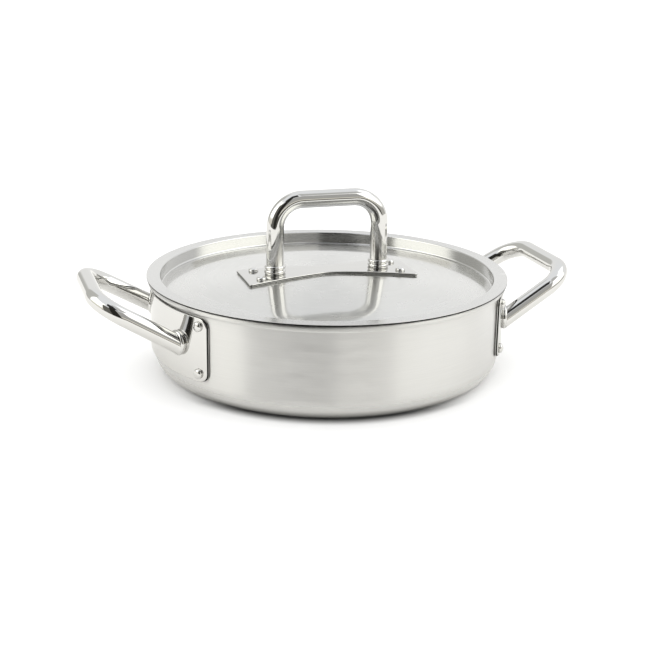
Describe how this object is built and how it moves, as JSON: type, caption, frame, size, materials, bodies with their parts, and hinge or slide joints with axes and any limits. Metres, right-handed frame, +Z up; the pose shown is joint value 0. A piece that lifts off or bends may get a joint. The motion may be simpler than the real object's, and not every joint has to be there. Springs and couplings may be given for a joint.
{
  "type": "saute pan",
  "caption": "Shallow stainless saute pan with straight walls, a pouring rim, a loop handle on each side and a recessed lid that lifts off by its own loop handle.",
  "frame": {"origin": "middle of the base's underside", "axes": "+X towards the right-hand side handle, +Y to the rear, +Z up out of the pan"},
  "size_m": [0.338, 0.248, 0.1244],
  "materials": {
    "brushed_steel": "satin stainless steel with fine brushing round the axis",
    "liner_steel": "finely brushed stainless steel, polished at the rim",
    "polished_steel": "mirror-polished stainless steel",
    "rivet_steel": "polished stainless steel, lightly tumbled",
    "aluminium": "plain rolled aluminium, hidden between the steel layers"
  },
  "bodies": {
    "pan": {"aluminium_core": "aluminium", "inner_liner": "liner_steel", "left_bracket": "polished_steel", "left_collar_front": "polished_steel", "left_collar_rear": "polished_steel", "left_handle": "polished_steel", "left_rivet_front_lower": "rivet_steel", "left_rivet_front_upper": "rivet_steel", "left_rivet_rear_lower": "rivet_steel", "left_rivet_rear_upper": "rivet_steel", "outer_skin": "brushed_steel", "right_bracket": "polished_steel", "right_collar_front": "polished_steel", "right_collar_rear": "polished_steel", "right_handle": "polished_steel", "right_rivet_front_lower": "rivet_steel", "right_rivet_front_upper": "rivet_steel", "right_rivet_rear_lower": "rivet_steel", "right_rivet_rear_upper": "rivet_steel"},
    "lid": {"lid_panel": "brushed_steel", "lid_handle_plate": "polished_steel", "lid_handle": "polished_steel", "lid_collar_left": "polished_steel", "lid_collar_right": "polished_steel", "lid_rivet_left_front": "rivet_steel", "lid_rivet_left_rear": "rivet_steel", "lid_rivet_right_front": "rivet_steel", "lid_rivet_right_rear": "rivet_steel"}
  },
  "joints": [
    {"name": "lid_lift", "type": "slide", "parent": "pan", "child": "lid", "axis": [0, 0, 1], "range_m": [0, 0.12]}
  ]
}
